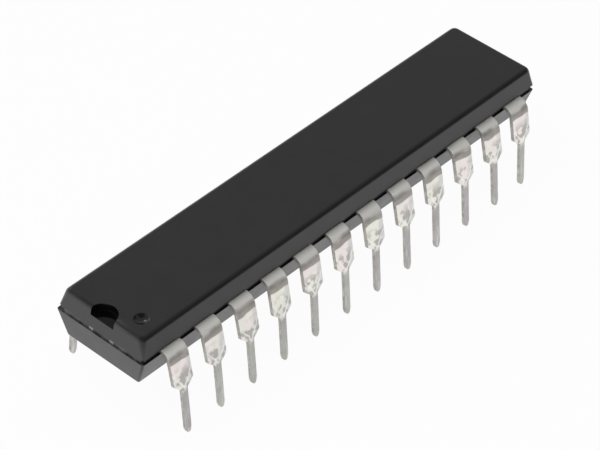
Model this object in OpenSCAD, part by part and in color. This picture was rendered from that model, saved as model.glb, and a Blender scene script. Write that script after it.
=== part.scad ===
// Dual in-line integrated circuit with 24 leads in two rows, in a moulded body.
// Millimetres, +Z up. The lead tips stand on z = 0, and the origin is midway between the rows
// and midway along the body. The notched end points to -X, and lead 1 is at -X, -Y.

/* [Body] */
// Width of the moulded body where the mould halves meet
body_w = 6.35; // [6.1:0.05:6.6]
// Height of the body above the middle of the lead frame
body_up = 1.4; // [1.2:0.05:1.8]
// Depth of the body below the middle of the lead frame
body_down = 1.85; // [1.5:0.05:2.1]
// Plastic beyond the centre of the last lead, at each end
end_margin = 1.955; // [1.3:0.005:2.4]
// Draft of the long sides above the lead frame, in degrees
side_draft_up = 13; // [5:1:16]
// Draft of the long sides below the lead frame, in degrees
side_draft_down = 18; // [5:1:20]
// Draft of both ends above the lead frame, in degrees
end_draft_up = 8; // [4:1:14]
// Draft of both ends below the lead frame, in degrees
end_draft_down = 6.5; // [2:0.5:12]
// How far the lower mould half stands out past the upper one
mould_step = 0.05; // [0.02:0.01:0.08]
// How far the lower mould half sits off towards +Y
mould_shift = 0.08; // [0:0.01:0.1]
// How far the long sides stand back between the leads, at the lead frame's level
side_relief = 0.14; // [0.08:0.01:0.16]
// How far that relief goes on above the leads
relief_rise = 0.1; // [0.05:0.01:0.15]
// How far the ends stand back at the lead frame's level
end_relief = 0.05; // [0.04:0.01:0.1]
// Radius of the moulded top and bottom edges
edge_r = 0.14; // [0.05:0.01:0.25]

/* [Marks moulded in the body] */
// Radius of the half-round notch at the lead 1 end
notch_r = 0.84; // [0.5:0.02:1.1]
// Depth of the notch
notch_deep = 0.5; // [0.2:0.05:0.8]
// Diameter of the dimple beside lead 1
dimple_d = 0.9; // [0.5:0.05:1.2]
// Depth of the dimple
dimple_deep = 0.16; // [0.08:0.01:0.25]
// Distance of the dimple's centre from the end of the body
dimple_from_end = 1.34; // [1:0.02:2]
// Distance of the dimple's centre from the middle of the body
dimple_y = 1.68; // [1.2:0.02:1.9]
// Diameter of the ejector pin marks in the underside
ejector_d = 1.8; // [1:0.1:2.6]
// Depth of the ejector pin marks
ejector_deep = 0.06; // [0.03:0.01:0.12]
// Distance of each ejector mark from the middle of the body
ejector_x = 10.2; // [6:0.1:12]

/* [Leads] */
// Distance from one lead to the next
pitch = 2.54; // [2.2:0.01:2.6]
// Distance between the two rows at the shoulders
row_spacing = 7.62; // [7.5:0.02:8.2]
// Thickness of the lead frame strip
lead_t = 0.25; // [0.2:0.01:0.3]
// Width of a lead's shoulder
shoulder_w = 1.4; // [1.1:0.05:1.6]
// Width of a lead's pin
pin_w = 0.46; // [0.36:0.02:0.56]
// Gap between the board and the underside of the body
standoff = 0.38; // [0.3:0.02:0.6]
// Length of a pin below the board's surface
pin_l = 3.2; // [2.9:0.05:3.8]
// Height of the shoulder's lower corners above the board's surface
shoulder_rise = 0.25; // [0.1:0.05:0.5]
// Slope of the shoulder's taper down to the pin, in degrees
shoulder_taper = 42; // [30:1:55]
// Radius of the punched corners of a shoulder
shoulder_r = 0.15; // [0.05:0.01:0.2]
// Radius inside the bend
bend_in_r = 0.3; // [0.2:0.02:0.34]
// Outward lean of each row of leads, in degrees
splay = 6.5; // [0:0.5:9]
// Length of a pin's tapered tip
tip_l = 0.35; // [0.2:0.05:0.6]
// Width left at the end of a tip
tip_w = 0.2; // [0.1:0.02:0.3]

/* [Lead frame inside] */
// How far a lead's full width runs into the body
root_deep = 0.32; // [0.2:0.02:0.4]
// Width of the fingers that run on to the chip
finger_w = 0.2; // [0.16:0.01:0.24]
// Gap between two fingers that run side by side
finger_gap = 0.16; // [0.12:0.01:0.18]
// Distance between the tips of the fingers beside the paddle
tip_pitch = 0.62; // [0.55:0.01:0.66]
// Length of the paddle that carries the chip
paddle_l = 5.2; // [4.8:0.1:5.6]
// Width of the paddle
paddle_w = 2.6; // [2.4:0.05:2.7]
// Gap between the paddle and the tips of the fingers
paddle_gap = 0.28; // [0.2:0.02:0.32]
// How far the paddle is set down below the fingers
downset = 0.25; // [0.15:0.01:0.4]
// Width of the tie bars that held the paddle in the strip
tie_w = 0.3; // [0.2:0.02:0.34]
// How far the cut ends of the tie bars stand out of the body's set-back ends
tie_proud = 0.02; // [0:0.01:0.04]
// Distance of each tie bar from the middle of the body
tie_y = 0.76; // [0.7:0.01:0.8]
// Gap between a tie bar and the finger next to it
tie_gap = 0.15; // [0.12:0.01:0.2]
// Level stretch of a tie bar before it meets the paddle
tie_foot = 0.5; // [0.3:0.05:1]

/* [Chip and bond wires] */
// Length of the silicon chip
die_l = 2.4; // [2:0.1:3]
// Width of the silicon chip
die_w = 1.9; // [1.6:0.05:2.1]
// Thickness of the silicon chip
die_t = 0.3; // [0.2:0.01:0.4]
// Thickness of the adhesive under the chip
attach_t = 0.03; // [0.02:0.01:0.06]
// How far the adhesive shows around the chip
attach_rim = 0.08; // [0.04:0.01:0.15]
// Distance between two bond pads
pad_pitch = 0.27; // [0.2:0.01:0.28]
// Distance of the bond pads from the edge of the chip
pad_inset = 0.12; // [0.1:0.01:0.16]
// Diameter of the gold bond wire
wire_d = 0.04; // [0.03:0.005:0.05]
// Height of the wire's loop
loop_h = 0.3; // [0.2:0.02:0.5]
// Diameter of the ball that bonds the wire to the chip
ball_d = 0.09; // [0.08:0.01:0.12]
// Thickness of the squashed ball
ball_t = 0.03; // [0.02:0.005:0.04]
// Distance of the bond from the finger's end
bond_inset = 0.14; // [0.12:0.01:0.2]

/* [Hidden] */
$fn = 48;

leads_per_side = 12;
lead_count = 2 * leads_per_side;
body_l = (leads_per_side - 1) * pitch + 2 * end_margin;
// Heights above the lead tips
seat_z = pin_l;
body_bottom_z = seat_z + standoff;
frame_z = body_bottom_z + body_down;
frame_top_z = frame_z + lead_t / 2;
frame_low_z = frame_z - lead_t / 2;
body_top_z = frame_z + body_up;
// The lead's bend
bend_mid_r = bend_in_r + lead_t / 2;
bend_y = row_spacing / 2 - bend_mid_r;
bend_centre_z = frame_z - bend_mid_r;
root_in_y = body_w / 2 - root_deep;
// Fingers that end beside the paddle in each quarter of the frame; the others end past its short edge
side_fingers = 4;
fingers = leads_per_side / 2;
finger_pitch = finger_w + finger_gap;
first_level = tie_y + tie_w / 2 + tie_gap + finger_w / 2;
side_tip_y = paddle_w / 2 + paddle_gap;
end_tip_x = paddle_l / 2 + paddle_gap;
// The chip's heights
paddle_top_z = frame_top_z - downset;
die_bottom_z = paddle_top_z + attach_t;
die_top_z = die_bottom_z + die_t;
// Facets of a moulded edge, sides of a bond wire and steps along its loop
edge_steps = 4;
wire_sides = 6;
loop_steps = 6;
// A cut runs this far past the face that it opens
past = 0.5;

// Colours
mould_black = [0.20, 0.20, 0.20];
tin = [0.78, 0.78, 0.75];
copper = [0.80, 0.52, 0.38];
silver_epoxy = [0.70, 0.69, 0.66];
silicon_grey = [0.38, 0.40, 0.46];
gold = [0.93, 0.75, 0.30];

// Unit vector along v
function unit(v) = v / norm(v);

// Vector v turned by an angle in its plane
function turned(v, angle) = [v[0] * cos(angle) - v[1] * sin(angle), v[0] * sin(angle) + v[1] * cos(angle)];

// Points of an arc of radius r in place of the corner p between a and b
function corner(a, p, b, r) =
    r <= 0 ? [p] :
    let (u = unit(a - p), v = unit(b - p), half = acos(u * v) / 2,
         centre = p + unit(u + v) * r / sin(half),
         from = p + u * r / tan(half) - centre, to = p + v * r / tan(half) - centre,
         sweep = (180 - 2 * half) * sign(cross(from, to)))
    [for (i = [0 : edge_steps]) centre + turned(from, sweep * i / edge_steps)];

// A polygon's points with a radius at each corner
function rounded(points, radii) =
    let (n = len(points))
    [for (i = [0 : n - 1]) each corner(points[(i + n - 1) % n], points[i], points[(i + 1) % n], radii[i])];

// Offset of the path's point i to its left by half the width, with a mitre where the path turns
function path_side(path, i, half_w) =
    let (n = len(path),
         before = i > 0 ? unit(path[i] - path[i - 1]) : unit(path[1] - path[0]),
         after = i < n - 1 ? unit(path[i + 1] - path[i]) : before,
         left = [-before[1], before[0]] + [-after[1], after[0]])
    path[i] + left * 2 * half_w / (left * left);

// Outline of a strip of even width along a path
function strip(path, w) = concat(
    [for (i = [0 : len(path) - 1]) path_side(path, i, w / 2)],
    [for (i = [len(path) - 1 : -1 : 0]) path_side(path, i, -w / 2)]);

// Place of lead n along the body, with its row turned to face +Y
function lead_x(n) = ((leads_per_side - 1) / 2 - (n - 1) % leads_per_side) * pitch;

// Rank of lead n from the middle of the body, 1 for the innermost
function rank(n) = ceil(abs(lead_x(n)) / pitch);

// Distance from the body's middle at which the finger of a lead of rank k runs lengthwise
function level(k) = first_level + (fingers - k) * finger_pitch;

// Middle of the finger's end, for a lead of rank k in the +X, +Y quarter
function finger_end(k) = k <= side_fingers ? [(k - 0.5) * tip_pitch, side_tip_y] : [end_tip_x, level(k)];

// Path of the finger from its root to its end, for a lead of rank k at distance x
function finger_path(k, x) =
    let (end = finger_end(k), run = min(level(k), end[1] + x - end[0]), turn_x = end[0] + run - end[1])
    k <= side_fingers
        ? concat([[x, root_in_y + finger_w], [x, run]], turn_x < x - finger_w ? [[turn_x, run]] : [], [end])
        : [[x, root_in_y + finger_w], [x, run], end];

// Where the wire of a lead of rank k is bonded to its finger, back from the finger's end
function finger_bond(k) =
    let (end = finger_end(k), back = k <= side_fingers ? unit([1, 1]) : [1, 0])
    end + back * bond_inset;

// Where the wire of a lead of rank k is bonded to the chip
function die_pad(k) = k <= side_fingers
    ? [(k - 0.5) * pad_pitch, die_w / 2 - pad_inset]
    : [die_l / 2 - pad_inset, (fingers - k + 0.5) * pad_pitch];

// Outline of the body in section: both mould halves, and the set-back plastic at the lead frame's level
function body_section(half_w, draft_up, draft_down, relief, rise, shift) =
    let (low = half_w + mould_step, inner = half_w - relief, lip = half_w - rise * tan(draft_up),
         top = half_w - (body_top_z - frame_top_z) * tan(draft_up),
         bottom = low - (frame_low_z - body_bottom_z) * tan(draft_down), z_lip = frame_top_z + rise)
    rounded([[shift + bottom, body_bottom_z], [shift + low, frame_low_z], [inner, frame_low_z],
             [inner, z_lip], [lip, z_lip], [top, body_top_z],
             [-top, body_top_z], [-lip, z_lip], [-inner, z_lip],
             [-inner, frame_low_z], [shift - low, frame_low_z], [shift - bottom, body_bottom_z]],
            [edge_r, 0, 0, 0, 0, edge_r, edge_r, 0, 0, 0, 0, edge_r]);

// The drafted block, before anything is cut from it
module body_block() {
    intersection() {
        rotate([90, 0, 90])
            linear_extrude(height = body_l + 2 * past, center = true)
                polygon(body_section(body_w / 2, side_draft_up, side_draft_down, side_relief, relief_rise,
                                     mould_shift));
        rotate([90, 0, 0])
            linear_extrude(height = body_w + 2 * past, center = true)
                polygon(body_section(body_l / 2, end_draft_up, end_draft_down, end_relief, 0, 0));
    }
}

// Notch, dimple and ejector marks, as the shapes that stand in the mould
module moulded_marks() {
    translate([-body_l / 2 + (body_top_z - frame_top_z) * tan(end_draft_up), 0, body_top_z - notch_deep])
        cylinder(r = notch_r, h = notch_deep + past);
    bowl_r = (pow(dimple_d / 2, 2) + pow(dimple_deep, 2)) / (2 * dimple_deep);
    translate([-body_l / 2 + dimple_from_end, -dimple_y, body_top_z - dimple_deep + bowl_r])
        sphere(r = bowl_r);
    for (side = [-1, 1])
        translate([side * ejector_x, 0, body_bottom_z - past])
            cylinder(d = ejector_d, h = past + ejector_deep);
}

// One piece of moulding compound, closed round everything inside it
module moulded_body() {
    color(mould_black)
        difference() {
            body_block();
            moulded_marks();
            for (n = [1 : lead_count]) lead(n);
            die_paddle();
            die_attach();
            silicon_die();
            for (n = [1 : lead_count]) bond_wire(n);
        }
}

// The lead's blank after bending: root, bend and leg at full width, in the +Y row at x = 0
module bent_strip() {
    translate([-shoulder_w / 2, root_in_y, frame_low_z])
        cube([shoulder_w, bend_y - root_in_y, lead_t]);
    translate([shoulder_w / 2, bend_y, bend_centre_z])
        rotate([0, -90, 0])
            rotate_extrude(angle = 90 - splay)
                translate([bend_in_r, 0])
                    square([lead_t, shoulder_w]);
    translate([0, bend_y, bend_centre_z])
        rotate([splay, 0, 0])
            translate([-shoulder_w / 2, bend_in_r, -frame_z])
                cube([shoulder_w, lead_t, frame_z]);
}

// Face of a lead as the punch leaves it: shoulder, taper, pin and tip
function lead_face() =
    let (corner_z = seat_z + shoulder_rise, half_s = shoulder_w / 2, half_p = pin_w / 2,
         taper_z = corner_z - (half_s - half_p) * tan(shoulder_taper), top = frame_z + lead_t)
    rounded([[half_s, top], [half_s, corner_z], [half_p, taper_z], [half_p, tip_l], [tip_w / 2, 0],
             [-tip_w / 2, 0], [-half_p, tip_l], [-half_p, taper_z], [-half_s, corner_z], [-half_s, top]],
            [0, shoulder_r, shoulder_r, 0, 0, 0, 0, shoulder_r, shoulder_r, 0]);

// A lead with its finger, of rank k at distance x from the middle, in the +X, +Y quarter
module lead_form(k, x) {
    translate([x, 0, 0])
        intersection() {
            bent_strip();
            rotate([90, 0, 0])
                translate([0, 0, -row_spacing])
                    linear_extrude(height = row_spacing)
                        polygon(lead_face());
        }
    translate([0, 0, frame_low_z])
        linear_extrude(height = lead_t)
            polygon(strip(finger_path(k, x), finger_w));
}

// What belongs to lead n, moved from the +X, +Y quarter to the lead's own
module in_quarter(n) {
    rotate([0, 0, n <= leads_per_side ? 180 : 0])
        mirror([lead_x(n) < 0 ? 1 : 0, 0, 0])
            children();
}

// Lead n, counted round from the dimple
module lead(n) {
    color(tin) in_quarter(n) lead_form(rank(n), abs(lead_x(n)));
}

// Paddle under the chip, with the four tie bars that end in the body's end faces
module die_paddle() {
    slope_x = paddle_l / 2 + tie_foot;
    color(copper) {
        translate([-paddle_l / 2, -paddle_w / 2, paddle_top_z - lead_t])
            cube([paddle_l, paddle_w, lead_t]);
        for (end = [0, 1], side = [-1, 1])
            mirror([end, 0, 0])
                translate([0, side * tie_y + tie_w / 2, 0])
                    rotate([90, 0, 0])
                        linear_extrude(height = tie_w)
                            polygon(strip([[body_l / 2 - end_relief + tie_proud, frame_z],
                                           [slope_x + downset, frame_z],
                                           [slope_x, frame_z - downset],
                                           [paddle_l / 2 - tie_foot, frame_z - downset]], lead_t));
    }
}

// Layer of silver-filled adhesive that holds the chip
module die_attach() {
    color(silver_epoxy)
        translate([-die_l / 2 - attach_rim, -die_w / 2 - attach_rim, paddle_top_z])
            cube([die_l + 2 * attach_rim, die_w + 2 * attach_rim, attach_t]);
}

// The chip itself
module silicon_die() {
    color(silicon_grey)
        translate([-die_l / 2, -die_w / 2, die_bottom_z])
            cube([die_l, die_w, die_t]);
}

// Ring of points round a wire's loop, i steps along it from a to b
function wire_ring(a, b, i) =
    let (s = 180 * i / loop_steps, flat = [b[0] - a[0], b[1] - a[1], 0], reach = norm(flat), along = unit(flat),
         across = cross([0, 0, 1], along),
         centre = a + (b - a) * (1 - cos(s)) / 2 + [0, 0, loop_h * sin(s)],
         heading = i == 0 ? [0, 0, 1] : i == loop_steps ? [0, 0, -1]
                 : unit(along * reach * sin(s) / 2 + [0, 0, loop_h * cos(s) + (b[2] - a[2]) * sin(s) / 2]),
         over = cross(heading, across))
    [for (j = [0 : wire_sides - 1])
        centre + wire_d / 2 * (across * cos(360 * j / wire_sides) + over * sin(360 * j / wire_sides))];

// A wire swept in one loop from a to b, both ends square to their pads
module wire_loop(a, b) {
    last = loop_steps * wire_sides;
    polyhedron(
        points = [for (i = [0 : loop_steps]) each wire_ring(a, b, i)],
        faces = concat(
            [[for (j = [wire_sides - 1 : -1 : 0]) j]],
            [for (i = [0 : loop_steps - 1], j = [0 : wire_sides - 1])
                let (p = i * wire_sides + j, q = i * wire_sides + (j + 1) % wire_sides)
                each [[p, q, q + wire_sides], [p, q + wire_sides, p + wire_sides]]],
            [[for (j = [0 : wire_sides - 1]) last + j]]));
}

// Wire n, from its ball on the chip to the finger of lead n
module bond_wire(n) {
    k = rank(n);
    pad = die_pad(k);
    tip = finger_bond(k);
    color(gold)
        in_quarter(n) {
            translate([pad[0], pad[1], die_top_z]) cylinder(d = ball_d, h = ball_t, $fn = 8);
            wire_loop([pad[0], pad[1], die_top_z + ball_t], [tip[0], tip[1], frame_top_z]);
        }
}

moulded_body();
lead(1);  // lead_01
lead(2);  // lead_02
lead(3);  // lead_03
lead(4);  // lead_04
lead(5);  // lead_05
lead(6);  // lead_06
lead(7);  // lead_07
lead(8);  // lead_08
lead(9);  // lead_09
lead(10);  // lead_10
lead(11);  // lead_11
lead(12);  // lead_12
lead(13);  // lead_13
lead(14);  // lead_14
lead(15);  // lead_15
lead(16);  // lead_16
lead(17);  // lead_17
lead(18);  // lead_18
lead(19);  // lead_19
lead(20);  // lead_20
lead(21);  // lead_21
lead(22);  // lead_22
lead(23);  // lead_23
lead(24);  // lead_24
die_paddle();
die_attach();
silicon_die();
bond_wire(1);  // bond_wire_01
bond_wire(2);  // bond_wire_02
bond_wire(3);  // bond_wire_03
bond_wire(4);  // bond_wire_04
bond_wire(5);  // bond_wire_05
bond_wire(6);  // bond_wire_06
bond_wire(7);  // bond_wire_07
bond_wire(8);  // bond_wire_08
bond_wire(9);  // bond_wire_09
bond_wire(10);  // bond_wire_10
bond_wire(11);  // bond_wire_11
bond_wire(12);  // bond_wire_12
bond_wire(13);  // bond_wire_13
bond_wire(14);  // bond_wire_14
bond_wire(15);  // bond_wire_15
bond_wire(16);  // bond_wire_16
bond_wire(17);  // bond_wire_17
bond_wire(18);  // bond_wire_18
bond_wire(19);  // bond_wire_19
bond_wire(20);  // bond_wire_20
bond_wire(21);  // bond_wire_21
bond_wire(22);  // bond_wire_22
bond_wire(23);  // bond_wire_23
bond_wire(24);  // bond_wire_24
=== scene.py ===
"""Looks of a 24-lead dual in-line chip: moulded black body, tinned leads, bare tie bar ends."""
import math
import random

import bmesh
import bpy
from mathutils import Matrix, Vector, noise


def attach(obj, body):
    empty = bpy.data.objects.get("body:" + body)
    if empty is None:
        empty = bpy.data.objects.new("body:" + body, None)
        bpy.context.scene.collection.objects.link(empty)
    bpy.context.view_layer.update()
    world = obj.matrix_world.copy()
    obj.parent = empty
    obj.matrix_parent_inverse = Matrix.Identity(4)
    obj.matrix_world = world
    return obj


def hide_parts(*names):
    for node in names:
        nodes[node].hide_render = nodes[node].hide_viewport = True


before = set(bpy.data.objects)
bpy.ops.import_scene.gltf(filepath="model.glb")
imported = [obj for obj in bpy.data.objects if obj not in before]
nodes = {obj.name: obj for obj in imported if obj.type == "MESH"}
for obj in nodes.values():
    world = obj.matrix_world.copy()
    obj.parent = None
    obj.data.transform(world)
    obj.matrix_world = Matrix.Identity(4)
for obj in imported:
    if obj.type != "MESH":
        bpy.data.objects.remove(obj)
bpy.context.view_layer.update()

MM = 0.001
scene = bpy.context.scene

# The chip's own sizes, in millimetres, as its drawing gives them
LEADS_PER_SIDE = 12
PITCH = 2.54
BODY_W = 6.35
END_MARGIN = 1.955
BODY_L = (LEADS_PER_SIDE - 1) * PITCH + 2 * END_MARGIN
STRIP_T = 0.25
FRAME_Z = 5.43
STRIP_TOP = FRAME_Z + STRIP_T / 2
STRIP_LOW = FRAME_Z - STRIP_T / 2
BODY_TOP = 6.83
BODY_BOTTOM = 3.58
SIDE_DRAFT_UP = 13
SIDE_DRAFT_DOWN = 18
END_DRAFT_UP = 8
END_DRAFT_DOWN = 6.5
MOULD_STEP = 0.05
MOULD_SHIFT = 0.08
SIDE_RELIEF = 0.14
RELIEF_RISE = 0.1
END_RELIEF = 0.05
# Roundings of the bottom and top rims, and of the upright corners: of the lower half, of the upper half
# at the parting line and at the top, and of the core between the halves
EDGE_R = 0.14
TOP_EDGE_R = 0.25
CORNER_R = 0.13
LINE_CORNER_R = 0.1
TOP_CORNER_R = 0.38
CORE_CORNER_R = 0.3
# How much further the far end's top reaches than its draft alone would leave it
FAR_REACH = 0.09
# How far the core runs into the halves, so that they join
CORE_DOWN = 0.2
CORE_OVER = 0.04
NOTCH_R = 0.84
NOTCH_DEEP = 0.5
DIMPLE_D = 0.9
DIMPLE_DEEP = 0.16
DIMPLE_X = -BODY_L / 2 + 1.34
DIMPLE_Y = -1.68
EJECTOR_D = 1.8
EJECTOR_DEEP = 0.06
EJECTOR_X = 10.2
# Eased square edges, and the thinner lips at the strip's level
RIM_R = 0.03
LIP_R = 0.012
SQUARE_ANGLE = 35
SMOOTH_ANGLE = 38
# Points nearer to each other than this are taken as one when corners and edges are picked
TOUCHING = 1e-4

SHOULDER_W = 1.4
SHOULDER_Z = 3.45
TAPER = 42
PIN_W = 0.46
TIP_L = 0.35
TIP_W = 0.2
# Roundings of the punched outline at the shoulder and the tip, and of the strip's long edges
PUNCHED_R = 0.0675
TIP_R = 0.07
STRIP_EDGE_R = 0.022
# Crown of the pin: the share of its thickness that falls away at the sides, how near its section comes
# to a half ellipse, how far above the pin it starts, and over what length it grows
PIN_CROWN = 0.4
CROWN_ROUND = 0.98
CROWN_ABOVE = 0.25
CROWN_RUN = 0.35
# Waves frozen in the tin: depth, how close they lie across and along, and how much calmer the pin is
WAVE_DEPTH = 0.012
WAVES_ACROSS = 2.2
WAVES_ALONG = 1.8
PIN_CALM = 0.6
BEND_MID_R = 0.44 + STRIP_T / 2
BEND_Y = 7.42 / 2 - BEND_MID_R
SPLAY = 11.5
PIN_SPLAY = 5.2
KINK_Z = 3.03
KINK_LENGTH = 0.4
ROOT_Y = BODY_W / 2 - 0.32
# Cuts across the strip in the bend and down the leg, and where the lengthwise cuts lie off its middle
BEND_CUTS = 10
LEG_CUTS = 22
LENGTHWISE_CUTS = (-0.6, -0.45, -0.3, -0.1, 0.0, 0.1, 0.3, 0.45, 0.6)

FINGER_W = 0.2
FINGER_PITCH = 0.36
FIRST_LEVEL = 1.16
SIDE_FINGERS = 4
TIP_PITCH = 0.62
SIDE_TIP_Y = 1.58
END_TIP_X = 2.88


def tan_deg(angle):
    return math.tan(math.radians(angle))


NOTCH_X = -BODY_L / 2 + (BODY_TOP - STRIP_TOP) * tan_deg(END_DRAFT_UP)
TAPER_END_Z = SHOULDER_Z - (SHOULDER_W - PIN_W) / 2 * tan_deg(TAPER)

# Camera and framing
VIEW_AZIMUTH = -48.35
VIEW_ELEVATION = 41.42
VIEW_ROLL = 1.55
VIEW_DISTANCE = 157.8
VIEW_LENS = 173.4
VIEW_AIM = Vector((-2.28, -1.57, FRAME_Z)) * MM

# Light: how white the floor shows itself, then the sky's bright side with its plain and its brightest
# level, the side that stays dim, the dark opening overhead, and the small bright window
FLOOR_GLOW = 0.96
SKY_BRIGHT = (-0.7, 0.7, 0.0)
SKY_LEVELS = (0.38, 1.25)
DIM_SIDE = (0.6, -0.8, 0.0)
DIM_LEVEL = 0.12
DARK_SIDE = (-0.22, -0.2, 0.96)
WINDOW_SIDE = (0.28, 0.79, 0.55)
WINDOW_LEVEL = 2.2


def make_camera():
    azimuth, elevation, roll = (math.radians(a) for a in (VIEW_AZIMUTH, VIEW_ELEVATION, VIEW_ROLL))
    forward = Vector((-math.sin(azimuth) * math.cos(elevation),
                      math.cos(azimuth) * math.cos(elevation), -math.sin(elevation)))
    level = Vector((math.cos(azimuth), math.sin(azimuth), 0))
    right = Matrix.Rotation(-roll, 3, forward) @ level
    up = right.cross(forward)
    camera = bpy.data.objects.new("camera", bpy.data.cameras.new("camera"))
    scene.collection.objects.link(camera)
    turn = Matrix((right, up, -forward)).transposed().to_4x4()
    camera.matrix_world = Matrix.Translation(VIEW_AIM - forward * VIEW_DISTANCE * MM) @ turn
    camera.data.sensor_width = 36
    camera.data.lens = VIEW_LENS
    camera.data.clip_start = 0.005
    camera.data.clip_end = 10
    scene.camera = camera


# Shader helpers

class Shader:
    """A material or a node group, with short calls to add and join its nodes."""

    def __init__(self, tree):
        self.tree = tree

    def add(self, kind, **settings):
        node = self.tree.nodes.new("ShaderNode" + kind)
        inputs = settings.pop("inputs", {})
        for name, value in settings.items():
            setattr(node, name, value)
        for name, value in inputs.items():
            if isinstance(value, bpy.types.NodeSocket):
                self.tree.links.new(value, node.inputs[name])
            else:
                node.inputs[name].default_value = value
        return node

    def join(self, out, into):
        self.tree.links.new(out, into)

    def math(self, operation, a, b=0.0):
        return self.add("Math", operation=operation, inputs={0: a, 1: b}).outputs[0]

    def product(self, *masks):
        result = masks[0]
        for mask in masks[1:]:
            result = self.math("MULTIPLY", result, mask)
        return result

    def plus(self, value, more, share):
        """The value with a share of another one added."""
        return self.add("Math", operation="MULTIPLY_ADD", inputs={0: more, 1: share, 2: value}).outputs[0]

    def band(self, value, low, high, to_low=0.0, to_high=1.0):
        node = self.add("MapRange", inputs={"Value": value, "From Min": low, "From Max": high,
                                            "To Min": to_low, "To Max": to_high})
        return node.outputs["Result"]

    def blend(self, share, first, second):
        node = self.add("Mix", data_type="RGBA", clamp_factor=True,
                        inputs={0: share, 6: first, 7: second})
        return node.outputs[2]

    def between(self, share, first, second):
        """Like blend, for plain values."""
        return self.add("Mix", data_type="FLOAT", inputs={0: share, 2: first, 3: second}).outputs[0]

    def noise(self, place, scale, detail=2.0, rough=0.5):
        node = self.add("TexNoise", inputs={"Vector": place, "Scale": scale, "Detail": detail,
                                            "Roughness": rough})
        return node.outputs["Fac"]


def new_material(name):
    material = bpy.data.materials.new(name)
    material.use_nodes = True
    material.node_tree.nodes.clear()
    shader = Shader(material.node_tree)
    surface = shader.add("BsdfPrincipled")
    output = shader.add("OutputMaterial")
    shader.join(surface.outputs[0], output.inputs["Surface"])
    place = shader.add("TexCoord").outputs["Object"]
    return material, shader, surface, place


def grain_group():
    """Fine even grain with a slow drift in it: Height for bump, Speck and Drift as masks."""
    group = bpy.data.node_groups.new("fine grain", "ShaderNodeTree")
    group.interface.new_socket("Place", in_out="INPUT", socket_type="NodeSocketVector")
    for name in ("Grain", "Drift Scale"):
        group.interface.new_socket(name, in_out="INPUT", socket_type="NodeSocketFloat")
    for name in ("Height", "Speck", "Drift"):
        group.interface.new_socket(name, in_out="OUTPUT", socket_type="NodeSocketFloat")
    shader = Shader(group)
    given = group.nodes.new("NodeGroupInput")
    result = group.nodes.new("NodeGroupOutput")
    place, size = given.outputs["Place"], given.outputs["Grain"]
    height = shader.noise(place, size, detail=3, rough=0.6)
    speck = shader.add("TexVoronoi", inputs={"Vector": place, "Scale": size})
    drift = shader.noise(place, given.outputs["Drift Scale"], detail=4, rough=0.55)
    shader.join(height, result.inputs["Height"])
    shader.join(shader.band(speck.outputs["Distance"], 0.0, 0.18, 1.0, 0.0), result.inputs["Speck"])
    shader.join(shader.band(drift, 0.35, 0.65), result.inputs["Drift"])
    return group


def use_group(shader, group, place, **values):
    node = shader.add("Group")
    node.node_tree = group
    shader.join(place, node.inputs["Place"])
    for name, value in values.items():
        node.inputs[name.replace("_", " ")].default_value = value
    return node.outputs


def within(shader, place, centre, inner, outer):
    """Mask of what lies within a distance of an upright axis, fading out from inner to outer."""
    level = shader.add("Mapping", inputs={"Vector": place, "Scale": (1.0, 1.0, 0.0)}).outputs[0]
    axis = Vector((centre[0], centre[1], 0)) * MM
    away = shader.add("VectorMath", operation="DISTANCE", inputs={0: level, 1: axis}).outputs["Value"]
    return shader.band(away, inner * MM, outer * MM, 1.0, 0.0)


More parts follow.
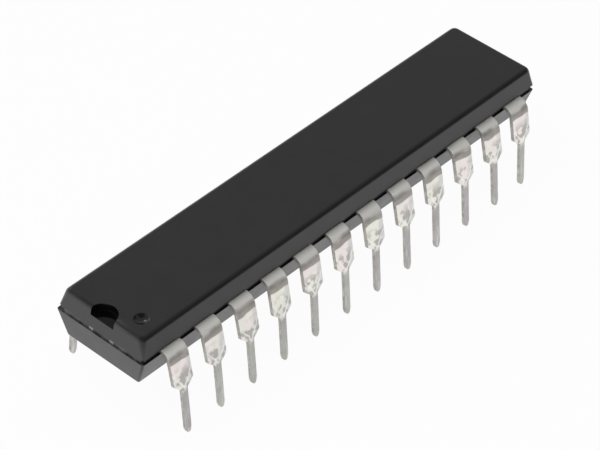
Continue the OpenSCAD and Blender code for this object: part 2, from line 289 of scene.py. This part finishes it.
def moulding_material(grain):
    """Matte black moulding compound, smoother in the notch and the dimple, with painted shade darkening them
    and painted light on the lower half and the line round the ends.
    """
    material, shader, surface, place = new_material("black moulding compound")
    fine = use_group(shader, grain, place, Grain=16000.0, Drift_Scale=900.0)
    axes = shader.add("SeparateXYZ", inputs={0: place}).outputs
    notch_floor = BODY_TOP - NOTCH_DEEP
    notch = shader.product(within(shader, place, (NOTCH_X, 0), NOTCH_R, NOTCH_R + 0.03),
                           shader.band(axes["Z"], (notch_floor - 0.03) * MM, (notch_floor - 0.01) * MM),
                           shader.band(axes["Z"], (BODY_TOP - 0.04) * MM, (BODY_TOP - 0.005) * MM, 1.0, 0.0))
    dimple = shader.product(within(shader, place, (DIMPLE_X, DIMPLE_Y), DIMPLE_D / 2 - 0.08, DIMPLE_D / 2),
                            shader.band(axes["Z"], (BODY_TOP - 0.33) * MM, (BODY_TOP - 0.23) * MM))
    # Mask of the notch and the dimple: smoother there, and darkened as painted shade
    smooth_and_shaded = shader.math("MAXIMUM", notch, dimple)
    tone = shader.blend(fine["Drift"], (0.0085, 0.0085, 0.0088, 1), (0.0115, 0.0115, 0.0118, 1))
    tone = shader.blend(shader.product(fine["Speck"], 0.25), tone, (0.05, 0.05, 0.05, 1))
    # Painted light: the lower half is drawn greyer, for the light it catches from the white floor below
    lower = shader.band(axes["Z"], (STRIP_LOW - 0.03) * MM, STRIP_LOW * MM, 1.0, 0.0)
    tone = shader.blend(lower, tone, (0.022, 0.022, 0.023, 1))
    # Painted shade: the notch and the dimple are drawn nearly black, for the shade that falls in these
    # hollows
    tone = shader.blend(smooth_and_shaded, tone, (0.002, 0.002, 0.002, 1))
    # Painted light in the set-back line round the ends: drawn lighter in patches, against the shade that
    # falls in the groove
    off = shader.math("ABSOLUTE", shader.math("SUBTRACT", axes["Z"], FRAME_Z * MM))
    line = shader.band(off, 0.11 * MM, 0.15 * MM, 1.0, 0.0)
    ends = shader.band(shader.math("ABSOLUTE", axes["X"]), 15.8 * MM, 15.88 * MM)
    lift_patches = shader.band(shader.noise(place, 1700.0, detail=3.0, rough=0.6), 0.40, 0.60, 0.1, 1.0)
    tone = shader.blend(shader.product(line, ends, lift_patches), tone, (0.13, 0.125, 0.12, 1))
    shader.join(tone, surface.inputs["Base Color"])
    rough = shader.band(fine["Drift"], 0.0, 1.0, 0.32, 0.38)
    rough = shader.plus(shader.plus(rough, lower, -0.02), smooth_and_shaded, -0.22)
    shader.join(rough, surface.inputs["Roughness"])
    surface.inputs["IOR"].default_value = 1.62
    shader.join(shader.band(notch, 0.0, 1.0, 0.5, 0.22), surface.inputs["Specular IOR Level"])
    height = shader.product(fine["Height"], shader.math("SUBTRACT", 1.0, smooth_and_shaded))
    bump = shader.add("Bump", inputs={"Strength": 0.3, "Distance": 0.000005, "Height": height})
    shader.join(bump.outputs["Normal"], surface.inputs["Normal"])
    return material


def tin_material(grain):
    """Dull tin plate: matt on the flats and bends, pooled on the shoulders, tarnished on the pins, with
    painted shade and painted highlights in its colour.
    """
    material, shader, surface, place = new_material("tin plate")
    fine = use_group(shader, grain, place, Grain=9000.0, Drift_Scale=2100.0)
    sideways = shader.add("Attribute", attribute_name="sideways").outputs["Fac"]
    across = shader.math("ABSOLUTE", sideways)
    down = shader.add("Attribute", attribute_name="down").outputs["Fac"]
    tint = shader.noise(place, 260.0, detail=0.0)
    pools = shader.noise(place, 1500.0, detail=3.0, rough=0.6)
    warp = shader.math("SUBTRACT", shader.noise(place, 2300.0, detail=3.0, rough=0.65), 0.5)
    broad = shader.noise(place, 2600.0, detail=1.0, rough=0.4)

    # Bright tin on the shoulder, warm on some leads and cool on others, greyer along one side as painted
    # shade
    bright = shader.blend(shader.band(tint, 0.4, 0.6), (0.88, 0.81, 0.79, 1), (0.86, 0.85, 0.77, 1))
    side = shader.plus(sideways, shader.math("SUBTRACT", along_leg(3.9), down), -0.2)
    side_shade = shader.band(shader.plus(side, warp, 0.5), 0.12, 0.34)
    bright = shader.blend(shader.product(side_shade, 0.7), bright, (0.62, 0.63, 0.63, 1))
    # Broad dull pools in the lower half, partly the plate's own dull patches and partly painted reflection of
    # its wavy surface
    low = shader.band(down, BEND_END + 0.4, along_leg(3.9))
    pool = shader.product(shader.band(broad, 0.46, 0.58), low)
    tone = shader.blend(shader.product(pool, 0.85), bright, (0.40, 0.39, 0.36, 1))
    # Light ridges that run together at the taper, where the tin drew down to the pin, drawn lighter as
    # painted highlights
    ridge_highlight = shader.plus(across, shader.math("SUBTRACT", along_leg(3.05), down), -0.62)
    ridge_highlight = shader.math("ABSOLUTE", shader.plus(ridge_highlight, warp, 0.4))
    ridge_highlight = shader.product(shader.band(ridge_highlight, 0.02, 0.10, 1.0, 0.0), low)
    tone = shader.blend(shader.product(ridge_highlight, 0.7), tone, (0.95, 0.94, 0.91, 1))
    # The flat and the bend keep the duller plate, darker next to the body as painted shade and lighter
    # further round the bend, with a darker pinkish band of painted shade where the bright tin starts
    wander = shader.math("SUBTRACT", shader.noise(place, 800.0, detail=1.0), 0.5)
    edge = shader.plus(shader.plus(down, warp, 0.08), wander, 0.45)
    flat = shader.band(edge, DULL_END - 0.04, DULL_END + 0.04, 1.0, 0.0)
    shade_stripe = shader.band(edge, STRIPE_AT - 0.08, STRIPE_AT + 0.12)
    dull = shader.blend(shader.band(pools, 0.4, 0.65), (0.50, 0.50, 0.46, 1), (0.43, 0.42, 0.39, 1))
    dull = shader.blend(shader.band(down, BEND_Y, BEND_SHADE_END), dull, (0.97, 0.96, 0.91, 1))
    dull = shader.blend(shader.product(shade_stripe, 0.9), dull, (0.42, 0.385, 0.355, 1))
    tone = shader.blend(flat, tone, dull)
    # The pin below the shoulder, tarnished and darkened further as painted shade, with painted highlights as
    # thin light streaks towards the tip
    pin = shader.band(shader.plus(down, warp, 0.5), *PIN_SPAN)
    # Painted highlights: thin light streaks along the pin
    fibre = shader.add("Mapping", inputs={"Vector": place, "Scale": (1.0, 1.0, 0.08)}).outputs[0]
    highlight_streak = shader.band(shader.noise(fibre, 6500.0, detail=2.0), 0.52, 0.62)
    highlight_streak = shader.product(highlight_streak, shader.band(down, PIN_SPAN[1] + 0.6, PIN_SPAN[1] + 2.2, 0.15, 1.0))
    plate = shader.blend(shader.band(tint, 0.42, 0.58), (0.50, 0.51, 0.47, 1), (0.48, 0.46, 0.46, 1))
    plate = shader.blend(shader.band(pools, 0.35, 0.68, 0.0, 0.35), plate, (0.34, 0.33, 0.32, 1))
    plate = shader.blend(shader.product(highlight_streak, 0.55), plate, (0.80, 0.79, 0.77, 1))
    # Painted shade along the pin's edges
    plate = shader.blend(shader.band(across, 0.18, 0.23, 0.0, 0.35), plate, (0.24, 0.23, 0.22, 1))
    tone = shader.blend(pin, tone, plate)
    tone = shader.blend(shader.product(fine["Speck"], 0.12), tone, (0.34, 0.33, 0.31, 1))
    shader.join(tone, surface.inputs["Base Color"])
    matt = shader.product(flat, shader.math("SUBTRACT", 1.0, shade_stripe))
    shader.join(shader.band(matt, 0.0, 1.0, 1.0, 0.25), surface.inputs["Metallic"])
    rough = shader.band(fine["Drift"], 0.0, 1.0, 0.28, 0.38)
    rough = shader.plus(shader.plus(rough, flat, 0.22), pin, 0.08)
    shader.join(rough, surface.inputs["Roughness"])
    lumps = shader.plus(pools, fine["Height"], 0.2)
    bump = shader.add("Bump", inputs={"Strength": 0.4, "Distance": 0.00003, "Height": lumps})
    shader.join(bump.outputs["Normal"], surface.inputs["Normal"])
    return material


def sheared_material(grain):
    """Sides of the strip as the punch tears them: dark tin with copper showing through."""
    material, shader, surface, place = new_material("sheared strip edge")
    fine = use_group(shader, grain, place, Grain=14000.0, Drift_Scale=3000.0)
    tone = shader.blend(fine["Drift"], (0.58, 0.57, 0.54, 1), (0.38, 0.37, 0.35, 1))
    bare = shader.band(shader.noise(place, 2600.0, detail=2.0), 0.60, 0.68, 0.0, 0.4)
    tone = shader.blend(bare, tone, (0.50, 0.40, 0.33, 1))
    shader.join(tone, surface.inputs["Base Color"])
    surface.inputs["Metallic"].default_value = 1.0
    shader.join(shader.band(fine["Height"], 0.3, 0.7, 0.4, 0.6), surface.inputs["Roughness"])
    bump = shader.add("Bump", inputs={"Strength": 0.5, "Distance": 0.00001, "Height": fine["Height"]})
    shader.join(bump.outputs["Normal"], surface.inputs["Normal"])
    return material


def copper_material(grain):
    """Bare copper strip with dull tarnish, as cut through at the tie bars."""
    material, shader, surface, place = new_material("bare copper strip")
    fine = use_group(shader, grain, place, Grain=12000.0, Drift_Scale=2500.0)
    tone = shader.blend(fine["Drift"], (0.30, 0.20, 0.17, 1), (0.38, 0.31, 0.28, 1))
    side = shader.add("SeparateXYZ", inputs={0: place}).outputs["Y"]
    tone = shader.blend(shader.band(side, -0.3 * MM, 0.3 * MM), tone, (0.33, 0.33, 0.31, 1))
    shader.join(tone, surface.inputs["Base Color"])
    surface.inputs["Metallic"].default_value = 0.9
    shader.join(shader.band(fine["Height"], 0.3, 0.7, 0.35, 0.6), surface.inputs["Roughness"])
    return material


def plain_fill_material(grain, name, first, second, metallic, roughness):
    """Simple inner finish with a fine mottle."""
    material, shader, surface, place = new_material(name)
    fine = use_group(shader, grain, place, Grain=20000.0, Drift_Scale=6000.0)
    shader.join(shader.blend(fine["Drift"], first, second), surface.inputs["Base Color"])
    surface.inputs["Metallic"].default_value = metallic
    surface.inputs["Roughness"].default_value = roughness
    return material


def floor_material():
    """White paper floor that keeps the chip's shadow."""
    material, shader, surface, _ = new_material("white floor")
    surface.inputs["Base Color"].default_value = (0.82, 0.82, 0.82, 1)
    surface.inputs["Roughness"].default_value = 0.9
    path = shader.add("LightPath").outputs
    seen = shader.math("MAXIMUM", path["Is Camera Ray"],
                       shader.math("MAXIMUM", path["Is Glossy Ray"], path["Is Transmission Ray"]))
    glow = shader.add("Emission", inputs={"Color": (1, 1, 1, 1), "Strength": 1.0})
    share = shader.product(seen, FLOOR_GLOW)
    mix = shader.add("MixShader", inputs={0: share, 1: surface.outputs[0], 2: glow.outputs[0]})
    output = next(n for n in material.node_tree.nodes if n.type == "OUTPUT_MATERIAL")
    shader.join(mix.outputs[0], output.inputs["Surface"])
    return material


# Mesh helpers

def finished(name, bm, *materials):
    """A mesh object made from a bmesh in millimetres, in the chip's own frame."""
    bmesh.ops.scale(bm, vec=(MM, MM, MM), verts=bm.verts)
    bmesh.ops.recalc_face_normals(bm, faces=bm.faces)
    mesh = bpy.data.meshes.new(name)
    bm.to_mesh(mesh)
    bm.free()
    piece = bpy.data.objects.new(name, mesh)
    scene.collection.objects.link(piece)
    for material in materials:
        mesh.materials.append(material)
    mesh.shade_smooth()
    mesh.set_sharp_from_angle(angle=math.radians(SMOOTH_ANGLE))
    normals = piece.modifiers.new("even normals", "WEIGHTED_NORMAL")
    normals.keep_sharp = True
    normals.weight = 80
    return piece


def bevel(bm, edges, offset, segments):
    bmesh.ops.bevel(bm, geom=edges, offset=offset, affect="EDGES", segments=segments, profile=0.5,
                    material=-1, clamp_overlap=True)


def round_corners(bm, corners, offset, segments):
    bmesh.ops.bevel(bm, geom=corners, offset=offset, affect="VERTICES", segments=segments, profile=0.5,
                    material=-1, clamp_overlap=True)


def round_rim(bm, height, radius):
    """Rounds the edges that lie level at a height."""
    rim = [e for e in bm.edges if all(abs(v.co.z - height) < TOUCHING for v in e.verts)]
    bevel(bm, rim, radius, 6)


def drafted_block(low, high, low_half, high_half, middle_y, low_r, high_r):
    """A block of the moulding with sloped sides and its upright corners rounded."""
    bm = bmesh.new()
    quarters = ((1, 1), (-1, 1), (-1, -1), (1, -1))
    bm.faces.new([bm.verts.new((sx * low_half[0], sy * low_half[1] + middle_y, low)) for sx, sy in quarters])
    round_corners(bm, bm.verts[:], low_r, 7)
    for v in bmesh.ops.extrude_face_region(bm, geom=bm.faces[:])["geom"]:
        if isinstance(v, bmesh.types.BMVert):
            # Each corner's arc keeps its form about the square corner, and spreads to the upper radius
            side_x, side_y = math.copysign(1, v.co.x), math.copysign(1, v.co.y - middle_y)
            in_x, in_y = v.co.x - side_x * low_half[0], v.co.y - middle_y - side_y * low_half[1]
            v.co = (side_x * high_half[0] + in_x * high_r / low_r,
                    side_y * high_half[1] + in_y * high_r / low_r + middle_y, high)
    bmesh.ops.recalc_face_normals(bm, faces=bm.faces)
    return bm


def cutter(name, bm):
    bmesh.ops.recalc_face_normals(bm, faces=bm.faces)
    mesh = bpy.data.meshes.new(name)
    bm.to_mesh(mesh)
    bm.free()
    tool = bpy.data.objects.new(name, mesh)
    scene.collection.objects.link(tool)
    return tool


def box_tool(name, low, high):
    bm = bmesh.new()
    bmesh.ops.create_cube(bm, size=1.0)
    size = Vector(high) - Vector(low)
    bmesh.ops.scale(bm, vec=size, verts=bm.verts)
    bmesh.ops.translate(bm, vec=Vector(low) + size / 2, verts=bm.verts)
    return cutter(name, bm)


def carved(block, steps):
    """The block's mesh after each tool has been joined to it or cut out of it."""
    for operation, tool in steps:
        step = block.modifiers.new(tool.name, "BOOLEAN")
        step.operation = operation
        step.solver = "EXACT"
        step.object = tool
    bpy.context.view_layer.update()
    shaped = block.evaluated_get(bpy.context.evaluated_depsgraph_get())
    result = bmesh.new()
    result.from_mesh(shaped.to_mesh())
    for tool in [tool for _, tool in steps] + [block]:
        bpy.data.objects.remove(tool)
    return result


def body_halves():
    """Both mould halves and the set-back plastic between them, at the strip's level."""
    down, up = STRIP_LOW - BODY_BOTTOM, BODY_TOP - STRIP_TOP
    lip = Vector((BODY_L / 2 + MOULD_STEP, BODY_W / 2 + MOULD_STEP))
    bottom = lip - down * Vector((tan_deg(END_DRAFT_DOWN), tan_deg(SIDE_DRAFT_DOWN)))
    line = Vector((BODY_L / 2, BODY_W / 2))
    top = line - up * Vector((tan_deg(END_DRAFT_UP), tan_deg(SIDE_DRAFT_UP)))
    lower = drafted_block(BODY_BOTTOM, STRIP_LOW, bottom, lip, MOULD_SHIFT, CORNER_R, CORNER_R)
    round_rim(lower, BODY_BOTTOM, EDGE_R)
    upper = drafted_block(STRIP_TOP, BODY_TOP, line, top, 0.0, LINE_CORNER_R, TOP_CORNER_R)
    for v in upper.verts:
        if v.co.x > 0 and v.co.z > BODY_TOP - TOUCHING:
            v.co.x += FAR_REACH
    round_rim(upper, BODY_TOP, TOP_EDGE_R)
    inner = (BODY_L / 2 - END_RELIEF, BODY_W / 2 - SIDE_RELIEF)
    relief_top = STRIP_TOP + RELIEF_RISE
    reliefs = []
    for side in (-1, 1):
        near, far = sorted((side * (inner[1] - CORE_OVER), side * BODY_W))
        tool = box_tool("side relief", (-BODY_L, near, STRIP_LOW), (BODY_L, far, relief_top))
        reliefs.append(("DIFFERENCE", tool))
    upper = cutter("upper half", carved(cutter("upper half", upper), reliefs))
    core = cutter("core", drafted_block(STRIP_LOW - CORE_DOWN, relief_top + CORE_OVER, inner, inner, 0.0,
                                        CORE_CORNER_R, CORE_CORNER_R))
    return carved(cutter("lower half", lower), [("UNION", core), ("UNION", upper)])


def peg_tool(name, x, z, radius, depth, segments):
    """An upright peg that sinks a round mark of a depth into a face at height z."""
    bm = bmesh.new()
    bmesh.ops.create_cone(bm, cap_ends=True, segments=segments, radius1=radius, radius2=radius,
                          depth=2 * depth, matrix=Matrix.Translation((x, 0, z)))
    return cutter(name, bm)


def cut_marks(bm):
    """Sinks the notch, the dimple and the ejector marks into the block."""
    tools = [peg_tool("notch tool", NOTCH_X, BODY_TOP, NOTCH_R, NOTCH_DEEP, 96)]
    bowl_r = ((DIMPLE_D / 2) ** 2 + DIMPLE_DEEP ** 2) / (2 * DIMPLE_DEEP)
    bowl_centre = Matrix.Translation((DIMPLE_X, DIMPLE_Y, BODY_TOP - DIMPLE_DEEP + bowl_r))
    bowl = bmesh.new()
    bmesh.ops.create_uvsphere(bowl, u_segments=64, v_segments=64, radius=bowl_r, matrix=bowl_centre)
    tools.append(cutter("dimple tool", bowl))
    for x in (-EJECTOR_X, EJECTOR_X):
        tools.append(peg_tool("ejector tool", x, BODY_BOTTOM, EJECTOR_D / 2, EJECTOR_DEEP, 64))
    return carved(cutter("block", bm), [("DIFFERENCE", tool) for tool in tools])


def beside_strip(edge):
    return abs(sum(v.co.z for v in edge.verts) / 2 - FRAME_Z) < STRIP_T


def make_body(material):
    bm = cut_marks(body_halves())
    bmesh.ops.remove_doubles(bm, verts=bm.verts, dist=0.0005)
    # Every edge that the mould left square is eased a little, the thin lips at the strip's level least
    square = [e for e in bm.edges if e.is_manifold and e.calc_face_angle() > math.radians(SQUARE_ANGLE)]
    lips = [e for e in square if beside_strip(e)]
    bevel(bm, [e for e in square if not beside_strip(e)], RIM_R, 3)
    bevel(bm, [e for e in lips if e.is_valid], LIP_R, 2)
    piece = finished("moulding", bm, material)
    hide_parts("moulded_body")
    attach(piece, "root")


# Leads

def rank_of(lead_x):
    return math.ceil(abs(lead_x) / PITCH)


def finger_path(rank, x):
    """Middle line of a lead's finger, from its root to its end beside the chip."""
    level = FIRST_LEVEL + (LEADS_PER_SIDE / 2 - rank) * FINGER_PITCH
    if rank > SIDE_FINGERS:
        return [Vector((x, ROOT_Y)), Vector((x, level)), Vector((END_TIP_X, level))]
    end = Vector(((rank - 0.5) * TIP_PITCH, SIDE_TIP_Y))
    run = min(level, end.y + x - end.x)
    turn = Vector((end.x + run - end.y, run))
    path = [Vector((x, ROOT_Y)), Vector((x, run))]
    return path + ([turn] if turn.x < x - FINGER_W else []) + [end]


def beside(path, i, offset):
    """Point i of a path moved sideways by offset, with a mitre where the path turns."""
    before = (path[i] - path[i - 1] if i else path[1] - path[0]).normalized()
    after = (path[i + 1] - path[i] if i + 1 < len(path) else path[i] - path[i - 1]).normalized()
    left = Vector((-before.y, before.x)) + Vector((-after.y, after.x))
    return path[i] + left * 2 * offset / left.dot(left)


# How the flat strip is formed, as stretches with their length and the angle they turn down through:
# straight out of the body, the round bend, the leaning shoulder, the kink below it and the pin
PAST_TIP = 10.0  # longer than any leg
BEND_TURN = math.radians(90 - SPLAY)
BEND_END = BEND_Y + BEND_MID_R * BEND_TURN
BEND_END_Z = FRAME_Z - BEND_MID_R * (1 - math.cos(BEND_TURN))
FORMING = ((BEND_Y, 0.0), (BEND_MID_R * BEND_TURN, BEND_TURN),
           ((BEND_END_Z - KINK_Z) / math.sin(BEND_TURN) - KINK_LENGTH / 2, 0.0),
           (KINK_LENGTH, math.radians(SPLAY - PIN_SPLAY)), (PAST_TIP, 0.0))

# How far the tip of each lead strays along and across the body: measured for the near row, and between
# which ends it is drawn by lot for the far row
LEANS = ((0.02, 0.01), (0.055, -0.015), (0.015, -0.005), (-0.03, -0.015), (-0.02, -0.04), (-0.01, -0.03),
         (-0.015, -0.025), (0.02, -0.02), (0.025, -0.05), (0.055, -0.045), (0.075, -0.005), (0.045, -0.135))
STRAY_ALONG = (-0.05, 0.09)
STRAY_ACROSS = (-0.1, 0.0)
stray = random.Random(24)


def formed(along):
    """Reach, height and slope that the strip's middle takes at a length along the flat strip."""
    y, z, slope = 0.0, FRAME_Z, 0.0
    for length, turn in FORMING:
        step = min(along, length)
        if turn:
            radius, after = length / turn, slope + turn * step / length
            y += radius * (math.sin(after) - math.sin(slope))
            z += radius * (math.cos(after) - math.cos(slope))
            slope = after
        else:
            y += step * math.cos(slope)
            z -= step * math.sin(slope)
        along -= step
    return y, z, slope


def along_leg(z):
    """Place along the flat strip of what ends up at height z on the leg."""
    near, far = BEND_END, BEND_END + PAST_TIP
    for _ in range(30):
        middle = (near + far) / 2
        near, far = (middle, far) if formed(middle)[1] > z else (near, middle)
    return middle


# Where the tin's finish and its painted shade change, as lengths along the flat strip
DULL_END = BEND_END + 0.2
BEND_SHADE_END = BEND_Y + BEND_MID_R * math.radians(36)
STRIPE_AT = BEND_Y + BEND_MID_R * math.radians(57)
PIN_SPAN = (along_leg(3.12), along_leg(2.78))


def flat_lead(rank, x):
    """The lead as the punch leaves it: one flat face, finger included, before bending."""
    path = finger_path(rank, x)
    left = [beside(path, i, FINGER_W / 2) for i in range(len(path))]
    right = [beside(path, i, -FINGER_W / 2) for i in range(len(path))]
    half_s, half_p, half_t = SHOULDER_W / 2, PIN_W / 2, TIP_W / 2
    leg = [(half_s, ROOT_Y), (half_s, along_leg(SHOULDER_Z)), (half_p, along_leg(TAPER_END_Z)),
           (half_p, along_leg(TIP_L)), (half_t, along_leg(0))]
    outline = [Vector((x + dx, y)) for dx, y in leg]
    outline += [Vector((x - dx, y)) for dx, y in reversed(leg)]
    # The finger leaves the root's inner edge, and its side at the smaller x comes first
    first, second = (right, left) if right[0].x < left[0].x else (left, right)
    outline += first + second[::-1]
    bm = bmesh.new()
    bm.faces.new([bm.verts.new((p.x, p.y, -STRIP_T / 2)) for p in outline])
    return bm


def punched_lead(rank, x):
    """The flat lead with its thickness, its outline's corners rounded and the rims of its leg rolled over."""
    bm = flat_lead(rank, x)
    shoulder, taper_end, tip = along_leg(SHOULDER_Z), along_leg(TAPER_END_Z), along_leg(0)
    taper = [v for v in bm.verts if min(abs(v.co.y - shoulder), abs(v.co.y - taper_end)) < TOUCHING]
    round_corners(bm, taper, PUNCHED_R, 4)
    round_corners(bm, [v for v in bm.verts if v.co.y > tip - TOUCHING], TIP_R, 3)
    made = bmesh.ops.extrude_face_region(bm, geom=bm.faces[:])["geom"]
    bmesh.ops.translate(bm, vec=(0, 0, STRIP_T), verts=[v for v in made if isinstance(v, bmesh.types.BMVert)])
    bmesh.ops.recalc_face_normals(bm, faces=bm.faces)
    # The sheared sides take the second finish
    for f in bm.faces:
        f.material_index = 1 if abs(f.normal.z) < 0.5 else 0
    rims = [e for e in bm.edges if abs(e.verts[0].co.z - e.verts[1].co.z) < TOUCHING
            and e.is_manifold and e.calc_face_angle() > math.radians(SQUARE_ANGLE)
            and max(v.co.y for v in e.verts) > ROOT_Y + TOUCHING]
    bevel(bm, rims, STRIP_EDGE_R, 2)
    return bm


def cut_for_forming(bm, x):
    """Cuts the strip across, for the bend and the leg, and lengthwise, for the crowned pin."""
    def cut(beyond, place, facing_way):
        faces = [f for f in bm.faces if max(v.co.y for v in f.verts) > beyond]
        verts = dict.fromkeys(v for f in faces for v in f.verts)
        edges = dict.fromkeys(e for f in faces for e in f.edges)
        bmesh.ops.bisect_plane(bm, geom=[*verts, *edges, *faces], plane_co=place, plane_no=facing_way,
                               dist=1e-5)

    for i in range(BEND_CUTS + 1):
        cut(BEND_Y - 0.5, (0, BEND_Y + (BEND_END - BEND_Y) * i / BEND_CUTS, 0), (0, 1, 0))
    leg = along_leg(0) - BEND_END
    for i in range(1, LEG_CUTS):
        cut(BEND_END - 0.1, (0, BEND_END + leg * i / LEG_CUTS, 0), (0, 1, 0))
    for offset in LENGTHWISE_CUTS:
        cut(BEND_Y - 0.2, (x + offset, 0, 0), (1, 0, 0))


def shape_lead(bm, x, number, flip, lean):
    """Crowns the pin, adds the frozen tin's waves, bends the strip down and leans the leg its own way."""
    pin_top = along_leg(TAPER_END_Z)
    # Each lead has its own stretch of waves
    shift = Vector((number * 7.3, number * 3.1, 0))
    sideways = bm.verts.layers.float.new("sideways")
    down = bm.verts.layers.float.new("down")
    for v in bm.verts:
        dx, s, h = v.co.x - x, v.co.y, v.co.z
        v[sideways], v[down] = dx * flip, s
        # Inside the body the strip stays plain
        if s > BEND_Y - 0.01:
            pin = min(max((s - pin_top + CROWN_ABOVE) / CROWN_RUN, 0), 1)
            u = min(abs(dx) / (PIN_W / 2), 1)
            h *= 1 - PIN_CROWN * pin * (1 - math.sqrt(1 - CROWN_ROUND * u * u))
            wave = noise.noise(Vector((dx * WAVES_ACROSS, s * WAVES_ALONG, 0)) + shift)
            h += math.copysign(WAVE_DEPTH, h) * wave * (1 - PIN_CALM * pin)
        y, z, slope = formed(s)
        y += h * math.sin(slope)
        z = max(z + h * math.cos(slope), 0.0)
        below = max(1 - z / (FRAME_Z - BEND_MID_R), 0)
        v.co = (v.co.x + lean[0] * below, y + lean[1] * below, z)


def make_lead(number, face_material, edge_material):
    """One lead, formed on the side of greater y and x, then turned to its own place."""
    near_row = number <= LEADS_PER_SIDE
    lead_x = ((LEADS_PER_SIDE - 1) / 2 - (number - 1) % LEADS_PER_SIDE) * PITCH
    x = abs(lead_x)
    bm = punched_lead(rank_of(lead_x), x)
    cut_for_forming(bm, x)
    flip = -1 if near_row != (lead_x < 0) else 1
    lean = LEANS[number - 1] if near_row else (stray.uniform(*STRAY_ALONG), stray.uniform(*STRAY_ACROSS))
    shape_lead(bm, x, number, flip, (lean[0] * flip, lean[1]))
    if lead_x < 0:
        bmesh.ops.scale(bm, vec=(-1, 1, 1), verts=bm.verts)
    if near_row:
        bmesh.ops.rotate(bm, matrix=Matrix.Rotation(math.pi, 3, "Z"), verts=bm.verts)
    piece = finished(f"tinned_lead_{number:02d}", bm, face_material, edge_material)
    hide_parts(f"lead_{number:02d}")
    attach(piece, "root")


# Stage

def make_stage():
    bm = bmesh.new()
    bmesh.ops.create_grid(bm, x_segments=1, y_segments=1, size=2.0)
    mesh = bpy.data.meshes.new("floor")
    bm.to_mesh(mesh)
    bm.free()
    floor = bpy.data.objects.new("floor", mesh)
    scene.collection.objects.link(floor)
    mesh.materials.append(floor_material())


def soft_light(name, place, size, power):
    lamp = bpy.data.lights.new(name, "AREA")
    lamp.shape = "RECTANGLE"
    lamp.size, lamp.size_y = size
    lamp.energy = power
    light = bpy.data.objects.new(name, lamp)
    scene.collection.objects.link(light)
    light.location = place
    towards_chip = Vector((0, 0, 0.005)) - Vector(place)
    light.rotation_euler = towards_chip.to_track_quat("-Z", "Y").to_euler()
    light.visible_glossy = False


def make_lights():
    """A pale studio, brightest low on the left, dim on the right, dark overhead, with a window behind."""
    world = bpy.data.worlds.new("studio")
    scene.world = world
    world.use_nodes = True
    shader = Shader(world.node_tree)
    towards = shader.add("TexCoord").outputs["Generated"]

    def facing(side):
        return shader.add("VectorMath", operation="DOT_PRODUCT",
                          inputs={0: towards, 1: Vector(side).normalized()}).outputs["Value"]

    height = shader.add("SeparateXYZ", inputs={0: towards}).outputs["Z"]
    glow = shader.product(shader.band(facing(SKY_BRIGHT), 0.1, 0.9), shader.band(height, 0.2, 0.5, 1.0, 0.0))
    level = shader.band(glow, 0.0, 1.0, *SKY_LEVELS)
    dim = shader.product(shader.band(facing(DIM_SIDE), 0.3, 0.6), shader.band(height, 0.7, 0.82, 1.0, 0.0))
    dark = shader.band(facing(DARK_SIDE), 0.84, 0.9, 0.0, 1.2)
    level = shader.between(shader.math("MAXIMUM", dim, dark), level, DIM_LEVEL)
    window = shader.band(facing(WINDOW_SIDE), 0.985, 0.995)
    level = shader.between(window, level, WINDOW_LEVEL)
    background = world.node_tree.nodes["Background"]
    shader.join(level, background.inputs["Strength"])
    background.inputs["Color"].default_value = (1, 1, 1, 1)
    soft_light("overhead softbox", (-0.2, 0.05, 0.5), (0.4, 0.4), 1.6)


def dress(node, material):
    """Gives a drawn solid its own finish."""
    data = nodes[node].data
    data.materials.clear()
    data.materials.append(material)


make_camera()
grain = grain_group()
moulding = moulding_material(grain)
tin_face = tin_material(grain)
tin_edge = sheared_material(grain)
copper = copper_material(grain)
adhesive = plain_fill_material(grain, "silver adhesive", (0.50, 0.49, 0.46, 1), (0.36, 0.35, 0.33, 1),
                               metallic=0.6, roughness=0.55)
silicon = plain_fill_material(grain, "silicon", (0.10, 0.11, 0.14, 1), (0.16, 0.17, 0.22, 1),
                              metallic=0.4, roughness=0.2)
gold = plain_fill_material(grain, "gold wire", (0.93, 0.68, 0.25, 1), (0.85, 0.58, 0.20, 1),
                           metallic=1.0, roughness=0.3)

make_body(moulding)
for number in range(1, 2 * LEADS_PER_SIDE + 1):
    make_lead(number, tin_face, tin_edge)
dress("die_paddle", copper)
dress("die_attach", adhesive)
dress("silicon_die", silicon)
for number in range(1, 2 * LEADS_PER_SIDE + 1):
    dress(f"bond_wire_{number:02d}", gold)

make_stage()
make_lights()
scene.view_settings.view_transform = "Standard"
